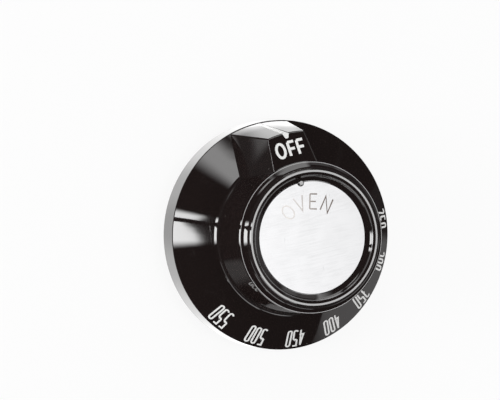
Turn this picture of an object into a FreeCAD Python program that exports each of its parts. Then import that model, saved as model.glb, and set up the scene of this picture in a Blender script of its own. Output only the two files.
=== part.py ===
import FreeCAD
import Part
import Sketcher
import math
import os

# Dial knob of an oven. It lies on the back of its rim, with its axis on +Z and its pointer towards +Y.
# Sizes are in millimetres and degrees.

SIZES = [
    # Skirt and rim
    ("rim_radius", 30.0, "radius of the rim's front edge"),
    ("rim_height", 7.1, "height of the rim's band"),
    ("rim_draft", 0.15, "how much wider the rim is at its back"),
    ("rim_bevel", 0.15, "bevel on the rim's front edge"),
    ("skirt_rise", 6.95, "height of the scale cone"),
    # Hub
    ("hub_rise", 14.6, "height of the hub's wall"),
    ("hub_draft", 0.75, "how much narrower the hub is at its front"),
    ("hub_fillet", 2.0, "hollow round between cone and hub"),
    ("hub_bevel", 0.2, "bevel on the hub's front edge"),
    # Disc, from which the dish, the ring and the hub follow outwards
    ("disc_radius", 14.25, "radius of the bright disc"),
    ("disc_thickness", 0.5, "sheet that the disc is blanked from"),
    ("disc_clearance", 0.1, "room round the disc in its seat"),
    ("disc_edge_break", 0.12, "bevel on the disc's front edge"),
    ("boss_radius", 0.7, "radius of the locating boss"),
    ("boss_inset", 0.15, "how far the boss's centre is inside the disc's edge"),
    ("boss_proud", 0.28, "how far the boss stands out of the dish"),
    ("boss_bevel", 0.2, "bevel on the end of the boss"),
    # Dish and ring on the hub's front
    ("land_rise", 0.5, "height of the seat's edge above the hub's front"),
    ("dish_run", 0.94, "from the seat out to the foot of the dish's wall"),
    ("dish_lift", 0.56, "rise of the dish over that run"),
    ("dish_cove", 1.24, "radius of the hollow of the dish's wall"),
    ("wall_run", 0.58, "from there out to the ring's shoulder"),
    ("shoulder_width", 0.65, "sloping shoulder inside the crest"),
    ("shoulder_drop", 0.24, "fall of the shoulder"),
    ("crest_width", 0.47, "flat crest of the ring"),
    ("crest_bevel", 0.2, "bevel outside the crest"),
    ("ring_rise", 2.15, "height of the crest above the hub's front"),
    ("ring_run", 1.09, "from the bevel out to the foot of the hollow"),
    ("ring_cove", 2.34, "radius of the hollow outside the ring"),
    ("border_run", 0.65, "sloping border outside that hollow"),
    ("border_lift", 0.39, "rise of the border towards the ring"),
    ("lip_width", 0.12, "flat lip round the hub's front"),
    # Pointer lug
    ("lug_foot_inset", 0.2, "how far the lug's outer face starts inside the rim's front edge"),
    ("lug_lean", 2.86, "how far the outer face leans in up to its front"),
    ("lug_root_drop", 0.5, "how far the front face starts below the hub's front"),
    ("lug_tip_drop", 2.65, "how far the front face ends below the hub's front"),
    ("lug_foot_width", 15.3, "width of the lug at the rim"),
    ("lug_foot_flare", 20.0, "angle by which the foot widens towards the hub"),
    ("lug_tip_width", 9.9, "width of the front face at its outer end"),
    ("lug_tip_flare", 6.7, "angle by which the front face widens towards the hub"),
    ("lug_foot_bury", 5.0, "how far the lug's foot reaches into the hub"),
    ("lug_tip_bury", 1.65, "how far the lug's front reaches into the hub"),
    ("lug_edge_round", 0.5, "round on the lug's edges"),
    ("index_mouth", 1.8, "width of the index groove"),
    ("index_floor", 0.9, "width of the groove's floor"),
    ("index_depth", 1.25, "depth of the groove at the front face"),
    ("index_foot_depth", 0.3, "depth of the groove at the rim"),
    ("index_round", 0.4, "round in the groove's floor"),
    # Hollow underside
    ("rim_wall", 3.0, "wall at the back of the rim"),
    ("skirt_wall", 2.8, "wall of the cone"),
    ("hub_wall", 2.8, "wall of the hub"),
    ("front_wall", 2.8, "wall behind the disc"),
    ("lug_wall", 2.8, "wall of the cored lug"),
    ("stem_radius", 7.0, "radius of the stem"),
    ("stem_recess", 1.5, "how far the stem ends inside the rim's back"),
    ("rib_count", 4, "ribs between stem and hub"),
    ("rib_thickness", 2.0, "thickness of a rib"),
    ("rib_recess", 13.0, "how far the ribs start inside the rim's back"),
    ("rib_turn", 45.0, "angle of the first rib"),
    ("rib_root", 1.0, "how far a rib is rooted in its walls"),
    # Socket for a 1/4 inch D shaft, and its spring leaf
    ("shaft_diameter", 6.35, "shaft"),
    ("shaft_across_flat", 4.76, "shaft measured over its flat"),
    ("shaft_clearance", 0.075, "room round the shaft"),
    ("flat_clearance", 0.165, "room at the shaft's flat"),
    ("socket_depth", 17.0, "depth of the socket"),
    ("slot_depth", 0.9, "depth of the leaf's slot behind the flat"),
    ("leaf_width", 4.0, "width of the leaf"),
    ("leaf_thickness", 0.4, "strip that the leaf is bent from"),
    ("leaf_clearance", 0.1, "room beside the leaf"),
    ("leaf_bite", 0.085, "how far the leaf stands into the shaft's flat"),
    ("leaf_length", 13.5, "length of the leaf along the socket"),
    ("leaf_foot", 1.6, "straight run at each end of the leaf"),
    ("leaf_crest", 3.0, "straight run at the leaf's crest"),
    ("leaf_tab", 1.8, "tab bent over the end of the stem"),
    ("leaf_bend", 0.3, "inner radius of the leaf's bends"),
    # Cutting tools run past the faces that they open
    ("overrun", 1.5, "how far a cut runs past an open face"),
]


def write_sheet(doc):
    sheet = doc.addObject("Spreadsheet::Sheet", "Sizes")
    for row, (alias, value, note) in enumerate(SIZES, start=1):
        sheet.set(f"A{row}", note)
        sheet.set(f"B{row}", str(value))
        sheet.setAlias(f"B{row}", alias)
    doc.recompute()
    return sheet


def cell(name):
    return f"Sizes.{name}"


def number(doc, expression):
    value = doc.Sizes.evalExpression(expression)
    return float(getattr(value, "Value", value))


# Levels and radii that several features share, as expressions of the sheet

HUB_TOP = "(Sizes.rim_height + Sizes.skirt_rise + Sizes.hub_rise)"
HUB_FOOT = "(Sizes.rim_height + Sizes.skirt_rise)"
LAND = f"({HUB_TOP} + Sizes.land_rise)"
SEAT = f"({LAND} - Sizes.disc_thickness)"
CREST = f"({HUB_TOP} + Sizes.ring_rise)"
ROOF = f"({SEAT} - Sizes.front_wall)"

SEAT_RADIUS = "(Sizes.disc_radius + Sizes.disc_clearance)"
DISH_FOOT_RADIUS = f"({SEAT_RADIUS} + Sizes.dish_run)"
SHOULDER_RADIUS = f"({DISH_FOOT_RADIUS} + Sizes.wall_run)"
CREST_INNER_RADIUS = f"({SHOULDER_RADIUS} + Sizes.shoulder_width)"
CREST_OUTER_RADIUS = f"({CREST_INNER_RADIUS} + Sizes.crest_width)"
RING_SIDE_RADIUS = f"({CREST_OUTER_RADIUS} + Sizes.crest_bevel)"
RING_FOOT_RADIUS = f"({RING_SIDE_RADIUS} + Sizes.ring_run)"
LIP_RADIUS = f"({RING_FOOT_RADIUS} + Sizes.border_run)"
HUB_TOP_RADIUS = f"({LIP_RADIUS} + Sizes.lip_width + Sizes.hub_bevel)"
HUB_RADIUS = f"({HUB_TOP_RADIUS} + Sizes.hub_draft)"

SKIRT_RUN = f"(Sizes.rim_radius - {HUB_RADIUS})"
SKIRT_SLOPE = f"(Sizes.skirt_rise / {SKIRT_RUN})"
SKIRT_DROP = f"(Sizes.skirt_wall * sqrt(1 + {SKIRT_SLOPE} ^ 2))"
RIM_INNER = "(Sizes.rim_radius + Sizes.rim_draft - Sizes.rim_wall)"
HUB_INNER_FOOT = f"({HUB_RADIUS} - Sizes.hub_wall)"
HUB_INNER_TOP = f"({HUB_TOP_RADIUS} - Sizes.hub_wall)"

LUG_FOOT_RADIUS = "(Sizes.rim_radius - Sizes.lug_foot_inset)"
LUG_TIP_RADIUS = f"({LUG_FOOT_RADIUS} - Sizes.lug_lean)"
LUG_FOOT_ROOT = f"({HUB_RADIUS} - Sizes.lug_foot_bury)"
LUG_TIP_ROOT = f"({HUB_TOP_RADIUS} - Sizes.lug_tip_bury)"
LUG_TIP = f"({HUB_TOP} - Sizes.lug_tip_drop)"
LUG_RUN = f"({LUG_TIP_RADIUS} - {HUB_TOP_RADIUS})"
LUG_SLOPE = f"((Sizes.lug_tip_drop - Sizes.lug_root_drop) / {LUG_RUN})"
LUG_STRETCH = f"sqrt(1 + {LUG_SLOPE} ^ 2)"
LUG_FRONT_ON_AXIS = f"({LUG_TIP} + {LUG_TIP_RADIUS} * {LUG_SLOPE})"
LUG_OUTER_LEAN = f"(Sizes.lug_lean / ({LUG_TIP} - Sizes.rim_height))"
INDEX_LEAN = (
    "((Sizes.lug_lean - Sizes.index_foot_depth + Sizes.index_depth)"
    f" / ({LUG_TIP} - Sizes.rim_height))"
)

FLAT = "(Sizes.shaft_across_flat - Sizes.shaft_diameter / 2)"
SOCKET_RADIUS = "(Sizes.shaft_diameter / 2 + Sizes.shaft_clearance)"
SOCKET_FLAT = f"({FLAT} + Sizes.flat_clearance)"
SLOT_BACK = f"({SOCKET_FLAT} + Sizes.slot_depth)"
SLOT_HALF = "(Sizes.leaf_width / 2 + Sizes.leaf_clearance)"
SLOT_END = "(Sizes.stem_recess + Sizes.leaf_length + Sizes.leaf_clearance)"
BOSS_PLACE = "(Sizes.disc_radius - Sizes.boss_inset)"
BOSS_REACH = f"({BOSS_PLACE} + Sizes.boss_radius - {SEAT_RADIUS})"
BOSS_END = f"({LAND} + {BOSS_REACH} * Sizes.dish_lift / Sizes.dish_run + Sizes.boss_proud)"


def foot_half_width(place):
    return f"(Sizes.lug_foot_width / 2 + ({LUG_FOOT_RADIUS} - {place}) * tan(Sizes.lug_foot_flare))"


def tip_half_width(place):
    return f"(Sizes.lug_tip_width / 2 + ({LUG_TIP_RADIUS} - {place}) * tan(Sizes.lug_tip_flare))"


# Sketching helpers

# A point this close to a face lies on it
NEAR = 0.001

# Ends of a sketched edge, and the centre of a circle
START = 1
FINISH = 2
CENTRE = 3


def origin_feature(body, role):
    return next(f for f in body.Origin.OriginFeatures if f.Role == role)


def new_sketch(body, name, plane):
    sketch = body.newObject("Sketcher::SketchObject", name)
    sketch.AttachmentSupport = [(origin_feature(body, plane), "")]
    sketch.MapMode = "FlatFace"
    return sketch


def lift(sketch, height):
    sketch.setExpression("AttachmentOffset.Base.z", height)


def tilt(sketch, axis, slope):
    """Turns a sketch about one of its own axes by the angle whose tangent is slope."""
    start = 1.0
    sketch.AttachmentOffset = FreeCAD.Placement(FreeCAD.Vector(), FreeCAD.Rotation(axis, start))
    sketch.setExpression("AttachmentOffset.Rotation.Angle", f"atan({slope})")


def bind(sketch, kind, *places_and_expression):
    *places, expression = places_and_expression
    start = number(sketch.Document, expression)
    index = sketch.addConstraint(Sketcher.Constraint(kind, *places, start))
    sketch.setExpression(f"Constraints[{index}]", expression)


def pin_point(sketch, geometry, end, across, up):
    origin = (-1, START)
    bind(sketch, "DistanceX", *origin, geometry, end, across)
    bind(sketch, "DistanceY", *origin, geometry, end, up)


def corner(across, up, rounding=None, bow=None):
    """One corner of an outline. bow is the radius of a curved edge to the next corner:
    above zero it bulges to the right of the way along the outline, below zero to the left."""
    return {"across": across, "up": up, "rounding": rounding, "bow": bow}


def bowed_edge(start, end, radius):
    chord = end - start
    middle = (start + end) * 0.5
    left = FreeCAD.Vector(-chord.y, chord.x, 0).normalize()
    depth = math.sqrt(radius**2 - (chord.Length / 2) ** 2)
    centre = middle + left * math.copysign(depth, radius)
    circle = Part.Circle(centre, FreeCAD.Vector(0, 0, 1), abs(radius))
    first, last = (start, end) if radius > 0 else (end, start)
    return Part.ArcOfCircle(circle, circle.parameter(first), circle.parameter(last))


def corner_round(previous, point, following, radius):
    """Where a round of that radius meets the two edges of a corner, and its arc."""
    back = (previous - point).normalize()
    onward = (following - point).normalize()
    half_angle = back.getAngle(onward) / 2
    reach = radius / math.tan(half_angle)
    centre = point + (back + onward).normalize() * (radius / math.sin(half_angle))
    first, last = point + back * reach, point + onward * reach
    turns_left = (back.x * onward.y - back.y * onward.x) < 0
    circle = Part.Circle(centre, FreeCAD.Vector(0, 0, 1), radius)
    ends = (first, last) if turns_left else (last, first)
    return first, last, Part.ArcOfCircle(circle, *[circle.parameter(p) for p in ends]), turns_left


def outline(sketch, corners):
    """Closes a sketch through its corners, each held by the sheet, and rounds those that ask for it."""
    doc = sketch.Document
    count = len(corners)
    points = [FreeCAD.Vector(number(doc, c["across"]), number(doc, c["up"]), 0) for c in corners]
    rounds = {}
    for i, c in enumerate(corners):
        if c["rounding"] is not None:
            radius = number(doc, c["rounding"])
            rounds[i] = corner_round(points[i - 1], points[i], points[(i + 1) % count], radius)
    edges = []
    for i, c in enumerate(corners):
        after = (i + 1) % count
        first = rounds[i][1] if i in rounds else points[i]
        second = rounds[after][0] if after in rounds else points[after]
        edges.append(add_edge(sketch, first, second, c["bow"]))
    for i, c in enumerate(corners):
        before, _, before_end = edges[i - 1]
        after, after_start, _ = edges[i]
        if i in rounds:
            round_corner(sketch, before, after, points[i], rounds[i], c)
        else:
            sketch.addConstraint(Sketcher.Constraint("Coincident", before, before_end, after, after_start))
            pin_point(sketch, after, after_start, c["across"], c["up"])


def add_edge(sketch, first, second, bow):
    """Adds a straight or bowed edge, and returns it with its ends in the order of the outline."""
    if bow is None:
        return sketch.addGeometry(Part.LineSegment(first, second), False), START, FINISH
    radius = number(sketch.Document, bow)
    edge = sketch.addGeometry(bowed_edge(first, second, radius), False)
    if radius > 0:
        bind(sketch, "Radius", edge, bow)
        return edge, START, FINISH
    bind(sketch, "Radius", edge, f"-({bow})")
    return edge, FINISH, START


def round_corner(sketch, before, after, point, made, c):
    """Rounds the corner between two straight edges, and keeps its sharp point as construction."""
    _, _, curve, turns_left = made
    arc = sketch.addGeometry(curve, False)
    sharp = sketch.addGeometry(Part.Point(point), True)
    arc_first, arc_last = (START, FINISH) if turns_left else (FINISH, START)
    pin_point(sketch, sharp, START, c["across"], c["up"])
    sketch.addConstraint(Sketcher.Constraint("PointOnObject", sharp, START, before))
    sketch.addConstraint(Sketcher.Constraint("PointOnObject", sharp, START, after))
    sketch.addConstraint(Sketcher.Constraint("Tangent", before, FINISH, arc, arc_first))
    sketch.addConstraint(Sketcher.Constraint("Tangent", arc, arc_last, after, START))
    bind(sketch, "Radius", arc, c["rounding"])


def mirrored_outline(sketch, right_side):
    """Closes a sketch from the corners on its right side, bottom to top, and the same on its left."""
    left_side = [corner(f"-({c['across']})", c["up"], c["rounding"]) for c in reversed(right_side)]
    outline(sketch, right_side + left_side)


# Feature helpers


def revolve(body, kind, name, sketch):
    feature = body.newObject(kind, name)
    feature.Profile = sketch
    feature.ReferenceAxis = (sketch, ["V_Axis"])
    feature.Angle = 360
    return feature


def extrude(body, kind, name, sketch, length, reverse=False):
    feature = body.newObject(kind, name)
    feature.Profile = sketch
    feature.Reversed = reverse
    feature.setExpression("Length", length)
    return feature


def loft(body, kind, name, first, second):
    feature = body.newObject(kind, name)
    feature.Profile = first
    feature.Sections = [second]
    feature.Ruled = True
    return feature


def edges_of_tip(body, wanted):
    """The body so far, and those of its edges whose middle point is wanted."""
    body.Document.recompute()
    tip = body.Tip
    names = []
    for i, edge in enumerate(tip.Shape.Edges, start=1):
        middle = edge.valueAt((edge.FirstParameter + edge.LastParameter) / 2)
        if wanted(middle):
            names.append(f"Edge{i}")
    return tip, names


def round_edges(body, name, radius, wanted):
    base = edges_of_tip(body, wanted)
    feature = body.newObject("PartDesign::Fillet", name)
    feature.Base = base
    feature.setExpression("Radius", radius)


def bevel_edges(body, name, width, wanted):
    base = edges_of_tip(body, wanted)
    feature = body.newObject("PartDesign::Chamfer", name)
    feature.Base = base
    feature.setExpression("Size", width)


# Pointer lug: lofted from its foot on the rim to its sloping front, then turned to a flush outer face


def add_lug(body):
    doc = body.Document
    foot_end = f"({LUG_FOOT_RADIUS} + {cell('overrun')})"
    foot = new_sketch(body, "lug_foot", "XY_Plane")
    lift(foot, cell("rim_height"))
    mirrored_outline(foot, [
        corner(foot_half_width(LUG_FOOT_ROOT), LUG_FOOT_ROOT),
        corner(foot_half_width(foot_end), foot_end),
    ])
    front = sloped_sketch(body, "lug_front", LUG_FRONT_ON_AXIS)
    tip_end = f"({LUG_TIP_RADIUS} + {cell('overrun')})"
    sloped_outline(front, [
        (tip_half_width(LUG_TIP_ROOT), LUG_TIP_ROOT),
        (tip_half_width(tip_end), tip_end),
    ])
    loft(body, "PartDesign::AdditiveLoft", "lug_loft", foot, front)

    below = f"({cell('rim_height')} - {cell('overrun')})"
    above = f"({HUB_TOP} + {cell('overrun')})"
    outside = f"({cell('rim_radius')} + 3 * {cell('overrun')})"
    turned = new_sketch(body, "lug_turning", "XZ_Plane")
    outline(turned, [
        corner(lug_outer_radius(below), below),
        corner(outside, below),
        corner(outside, above),
        corner(lug_outer_radius(above), above),
    ])
    revolve(body, "PartDesign::Groove", "lug_outer_face", turned)

    root = number(doc, LUG_TIP_ROOT)
    foot_level = number(doc, cell("rim_height"))
    slope = number(doc, LUG_SLOPE)
    front_on_axis = number(doc, LUG_FRONT_ON_AXIS)

    def on_front(p):
        return p.y > root + NEAR and abs(p.z - (front_on_axis - slope * p.y)) < NEAR

    def on_outer_face(p):
        radius = number(doc, lug_outer_radius(str(p.z)))
        return p.z > foot_level + NEAR and abs(math.hypot(p.x, p.y) - radius) < NEAR

    round_edges(body, "lug_edges", cell("lug_edge_round"), lambda p: on_front(p) or on_outer_face(p))
    cut_index(body)


def lug_outer_radius(level):
    return f"({LUG_TIP_RADIUS} + ({LUG_TIP} - {level}) * {LUG_OUTER_LEAN})"


def sloped_sketch(body, name, level_on_axis):
    """A sketch in the slope of the lug's front face, which meets the knob's axis at that level."""
    sketch = new_sketch(body, name, "XY_Plane")
    tilt(sketch, FreeCAD.Vector(-1, 0, 0), LUG_SLOPE)
    lift(sketch, level_on_axis)
    return sketch


def sloped_outline(sketch, right_side):
    """Corners are half width and distance from the axis, which the slope stretches."""
    mirrored_outline(sketch, [corner(half, f"({place} * {LUG_STRETCH})") for half, place in right_side])


def cut_index(body):
    stretch = f"sqrt(1 + {INDEX_LEAN} ^ 2)"
    sketch = new_sketch(body, "index_section", "XY_Plane")
    tilt(sketch, FreeCAD.Vector(1, 0, 0), INDEX_LEAN)
    sketch.setExpression(
        "AttachmentOffset.Base.y",
        f"{LUG_TIP_RADIUS} - {cell('overrun')} * {INDEX_LEAN} / {stretch}",
    )
    lift(sketch, f"{LUG_TIP} + {cell('overrun')} / {stretch}")
    flare = f"(({cell('index_mouth')} - {cell('index_floor')}) / 2 / {cell('index_depth')})"
    mirrored_outline(sketch, [
        corner(f"({cell('index_floor')} / 2)", f"-{cell('index_depth')}", cell("index_round")),
        corner(f"({cell('index_mouth')} / 2 + {cell('overrun')} * {flare})", cell("overrun")),
    ])
    length = f"(({LUG_TIP} - {cell('rim_height')}) * {stretch} + 2 * {cell('overrun')})"
    extrude(body, "PartDesign::Pocket", "index_groove", sketch, length)


# Body of revolution: rim, scale cone, hub, ring and the dish that seats the disc


def add_turned_form(body):
    sketch = new_sketch(body, "front_profile", "XZ_Plane")
    rim = cell("rim_radius")
    rim_level = cell("rim_height")
    rim_bevel = cell("rim_bevel")
    rim_slope = f"({cell('rim_draft')} / {rim_level})"
    hub_bevel = cell("hub_bevel")
    hub_slope = f"({cell('hub_draft')} / {cell('hub_rise')})"
    outline(sketch, [
        corner("0", "0"),
        corner(f"({rim} + {cell('rim_draft')})", "0"),
        corner(f"({rim} + {rim_bevel} * {rim_slope})", f"({rim_level} - {rim_bevel})"),
        corner(f"({rim} - {rim_bevel})", f"({rim_level} + {rim_bevel} * {SKIRT_SLOPE})"),
        corner(HUB_RADIUS, HUB_FOOT, cell("hub_fillet")),
        corner(f"({HUB_TOP_RADIUS} + {hub_bevel} * {hub_slope})", f"({HUB_TOP} - {hub_bevel})"),
        corner(f"({HUB_TOP_RADIUS} - {hub_bevel})", HUB_TOP),
        corner(LIP_RADIUS, HUB_TOP),
        corner(RING_FOOT_RADIUS, f"({HUB_TOP} + {cell('border_lift')})", bow=f"-{cell('ring_cove')}"),
        corner(RING_SIDE_RADIUS, f"({CREST} - {cell('crest_bevel')})"),
        corner(CREST_OUTER_RADIUS, CREST),
        corner(CREST_INNER_RADIUS, CREST),
        corner(SHOULDER_RADIUS, f"({CREST} - {cell('shoulder_drop')})", bow=f"-{cell('dish_cove')}"),
        corner(DISH_FOOT_RADIUS, f"({LAND} + {cell('dish_lift')})"),
        corner(SEAT_RADIUS, LAND),
        corner(SEAT_RADIUS, SEAT),
        corner("0", SEAT),
    ])
    revolve(body, "PartDesign::Revolution", "turned_form", sketch)


def hollow_underside(body):
    sketch = new_sketch(body, "hollow_profile", "XZ_Plane")
    open_end = f"-{cell('overrun')}"
    inner_cone_top = f"({HUB_FOOT} - {SKIRT_DROP} + {cell('hub_wall')} * {SKIRT_SLOPE})"
    rim_step = f"({cell('rim_radius')} - {RIM_INNER})"
    inner_cone_foot = f"({cell('rim_height')} - {SKIRT_DROP} + {rim_step} * {SKIRT_SLOPE})"
    outline(sketch, [
        corner("0", open_end),
        corner(RIM_INNER, open_end),
        corner(RIM_INNER, inner_cone_foot),
        corner(HUB_INNER_FOOT, inner_cone_top),
        corner(HUB_INNER_TOP, ROOF),
        corner(cell("stem_radius"), ROOF),
        corner(cell("stem_radius"), cell("stem_recess")),
        corner("0", cell("stem_recess")),
    ])
    revolve(body, "PartDesign::Groove", "hollow", sketch)


def core_lug(body):
    wall = cell("lug_wall")
    outer_foot = f"({LUG_FOOT_RADIUS} - {wall})"
    outer_tip = f"({LUG_TIP_RADIUS} - {wall})"
    inner = HUB_RADIUS
    foot = new_sketch(body, "lug_core_foot", "XY_Plane")
    lift(foot, f"{cell('rim_height')} - {wall}")
    mirrored_outline(foot, [
        corner(f"({foot_half_width(inner)} - {wall})", inner),
        corner(f"({foot_half_width(outer_foot)} - {wall})", outer_foot),
    ])
    front = sloped_sketch(body, "lug_core_front", f"({LUG_FRONT_ON_AXIS} - {wall} * {LUG_STRETCH})")
    sloped_outline(front, [
        (f"({tip_half_width(inner)} - {wall})", inner),
        (f"({tip_half_width(outer_tip)} - {wall})", outer_tip),
    ])
    loft(body, "PartDesign::SubtractiveLoft", "lug_core", foot, front)


def add_ribs(body):
    sketch = new_sketch(body, "rib_profile", "XZ_Plane")
    start = 1.0
    upright = FreeCAD.Rotation(FreeCAD.Vector(0, 1, 0), start)
    sketch.AttachmentOffset = FreeCAD.Placement(FreeCAD.Vector(), upright)
    sketch.setExpression("AttachmentOffset.Rotation.Angle", cell("rib_turn"))
    inner = f"({cell('stem_radius')} - {cell('rib_root')})"
    outer = f"({HUB_INNER_TOP} + {cell('rib_root')})"
    top = f"({ROOF} + {cell('rib_root')})"
    outline(sketch, [
        corner(inner, cell("rib_recess")),
        corner(outer, cell("rib_recess")),
        corner(outer, top),
        corner(inner, top),
    ])
    rib = extrude(body, "PartDesign::Pad", "rib", sketch, cell("rib_thickness"))
    rib.SideType = "Symmetric"
    body.Document.recompute()
    ribs = body.newObject("PartDesign::PolarPattern", "ribs")
    ribs.Originals = [rib]
    ribs.Axis = (origin_feature(body, "Z_Axis"), [""])
    ribs.Angle = 360
    ribs.setExpression("Occurrences", cell("rib_count"))
    body.Tip = ribs


def rectangle(body, name, half_width, near, far, level):
    sketch = new_sketch(body, name, "XY_Plane")
    lift(sketch, level)
    mirrored_outline(sketch, [corner(half_width, near), corner(half_width, far)])
    return sketch


def cut_socket(body):
    """The D socket opens at the stem's end, with a slot and a tab seat for the spring leaf."""
    stem_end = cell("stem_recess")
    chord_half = f"sqrt({SOCKET_RADIUS} ^ 2 - {SOCKET_FLAT} ^ 2)"
    section = new_sketch(body, "socket_section", "XY_Plane")
    lift(section, stem_end)
    lower_half = f"(-({SOCKET_RADIUS}))"
    outline(section, [
        corner(f"-({chord_half})", SOCKET_FLAT, bow=SOCKET_RADIUS),
        corner("0", lower_half, bow=SOCKET_RADIUS),
        corner(chord_half, SOCKET_FLAT),
    ])
    extrude(body, "PartDesign::Pocket", "socket", section, cell("socket_depth"), reverse=True)
    slot = rectangle(body, "slot_section", SLOT_HALF, "0", SLOT_BACK, stem_end)
    extrude(body, "PartDesign::Pocket", "leaf_slot", slot, f"({SLOT_END} - {stem_end})", reverse=True)
    tab_end = f"({SLOT_BACK} + {cell('leaf_tab')} + {cell('leaf_clearance')})"
    seat = rectangle(body, "tab_section", SLOT_HALF, "0", tab_end, stem_end)
    extrude(body, "PartDesign::Pocket", "tab_seat", seat, cell("leaf_thickness"), reverse=True)
    lip_place = number(body.Document, SLOT_BACK)
    lip_level = number(body.Document, f"{stem_end} + {cell('leaf_thickness')}")

    def on_slot_lip(p):
        return abs(p.y - lip_place) < NEAR and abs(p.z - lip_level) < NEAR

    lip_round = f"({cell('leaf_bend')} + {cell('leaf_clearance')})"
    round_edges(body, "slot_lip", lip_round, on_slot_lip)


def add_boss(body):
    doc = body.Document
    sketch = new_sketch(body, "boss_section", "XY_Plane")
    lift(sketch, SEAT)
    middle = FreeCAD.Vector(0, number(doc, BOSS_PLACE), 0)
    radius = number(doc, cell("boss_radius"))
    circle = sketch.addGeometry(Part.Circle(middle, FreeCAD.Vector(0, 0, 1), radius), False)
    pin_point(sketch, circle, CENTRE, "0", BOSS_PLACE)
    bind(sketch, "Radius", circle, cell("boss_radius"))
    extrude(body, "PartDesign::Pad", "boss", sketch, f"({BOSS_END} - {SEAT})")
    end = number(doc, BOSS_END)

    def on_boss_end(p):
        on_rim = abs((FreeCAD.Vector(p.x, p.y, 0) - middle).Length - radius) < NEAR
        return on_rim and abs(p.z - end) < NEAR

    bevel_edges(body, "boss_end", cell("boss_bevel"), on_boss_end)


def make_knob_body(doc):
    body = doc.addObject("PartDesign::Body", "knob_body")
    add_lug(body)
    add_turned_form(body)
    hollow_underside(body)
    core_lug(body)
    add_ribs(body)
    cut_socket(body)
    add_boss(body)
    return body


def make_front_disc(doc):
    """A blanked disc with a round notch over the moulded boss."""
    body = doc.addObject("PartDesign::Body", "front_disc")
    sketch = new_sketch(body, "disc_section", "XY_Plane")
    lift(sketch, SEAT)
    notch = f"({cell('boss_radius')} + {cell('disc_clearance')})"
    # The notch circle, centred on the boss, meets the disc's edge at this height and half width
    meet_up = f"(({cell('disc_radius')} ^ 2 + {BOSS_PLACE} ^ 2 - {notch} ^ 2) / (2 * {BOSS_PLACE}))"
    meet_half = f"sqrt({cell('disc_radius')} ^ 2 - {meet_up} ^ 2)"
    outline(sketch, [
        corner("0", f"(-{cell('disc_radius')})", bow=cell("disc_radius")),
        corner(meet_half, meet_up, bow=f"-{notch}"),
        corner("0", f"({BOSS_PLACE} - {notch})", bow=f"-{notch}"),
        corner(f"-({meet_half})", meet_up, bow=cell("disc_radius")),
    ])
    extrude(body, "PartDesign::Pad", "blank", sketch, cell("disc_thickness"))
    face = number(doc, LAND)
    bevel_edges(body, "broken_edge", cell("disc_edge_break"), lambda p: abs(p.z - face) < NEAR)
    return body


def make_shaft_clip(doc):
    """A spring leaf: its feet lie on the back of the slot, its crest bears on the shaft's flat."""
    body = doc.addObject("PartDesign::Body", "shaft_clip")
    sketch = new_sketch(body, "leaf_profile", "YZ_Plane")
    thickness = cell("leaf_thickness")
    back = SLOT_BACK
    face = f"({back} - {thickness})"
    crest = f"({FLAT} - {cell('leaf_bite')})"
    crest_back = f"({crest} + {thickness})"
    mouth = cell("stem_recess")
    tab_top = f"({mouth} + {thickness})"
    tab_end = f"({back} + {cell('leaf_tab')})"
    deep_end = f"({mouth} + {cell('leaf_length')})"
    middle = f"({mouth} + {cell('leaf_length')} / 2)"
    foot_near = f"({tab_top} + {cell('leaf_bend')} + {cell('leaf_foot')})"
    foot_far = f"({deep_end} - {cell('leaf_foot')})"
    crest_near = f"({middle} - {cell('leaf_crest')} / 2)"
    crest_far = f"({middle} + {cell('leaf_crest')} / 2)"
    inner_bend = cell("leaf_bend")
    outer_bend = f"({cell('leaf_bend')} + {thickness})"
    outline(sketch, [
        corner(tab_end, mouth),
        corner(tab_end, tab_top),
        corner(back, tab_top, inner_bend),
        corner(back, foot_near, outer_bend),
        corner(crest_back, crest_near, inner_bend),
        corner(crest_back, crest_far, inner_bend),
        corner(back, foot_far, outer_bend),
        corner(back, deep_end),
        corner(face, deep_end),
        corner(face, foot_far, inner_bend),
        corner(crest, crest_far, outer_bend),
        corner(crest, crest_near, outer_bend),
        corner(face, foot_near, inner_bend),
        corner(face, mouth, outer_bend),
    ])
    strip = extrude(body, "PartDesign::Pad", "strip", sketch, cell("leaf_width"))
    strip.SideType = "Symmetric"
    return body


def check_and_write(doc, bodies):
    doc.recompute()
    for thing in doc.Objects:
        if "Invalid" in thing.State or "Error" in thing.State:
            raise RuntimeError(f"{thing.Label} failed: {thing.State}")
    os.makedirs("parts", exist_ok=True)
    for body in bodies:
        if body.Shape.isNull() or not body.Shape.isValid():
            raise RuntimeError(f"{body.Label} has no valid shape")
    for body in bodies:
        body.Shape.exportStep(f"parts/{body.Label}.step")
        print(f"{body.Label}: {len(body.Shape.Solids)} solid, {body.Shape.Volume:.1f} mm3")


def main():
    doc = FreeCAD.newDocument("oven_control_knob")
    write_sheet(doc)
    check_and_write(doc, [make_knob_body(doc), make_front_disc(doc), make_shaft_clip(doc)])


main()
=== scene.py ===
# %% [markdown]
# # An oven control knob
#
# This lesson dresses a finished CAD model of an oven knob: a black moulded skirt and hub, a pointer lug
# with the word OFF, a bright disc and a white temperature scale. The CAD model fixes every size.
# Blender adds the paint, the finishes, the light and the camera. Each step says what the real thing is
# before it is made.

# %% The frame
import math

import bpy
from mathutils import Matrix, Vector
from mathutils.bvhtree import BVHTree
from mathutils.geometry import delaunay_2d_cdt


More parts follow.
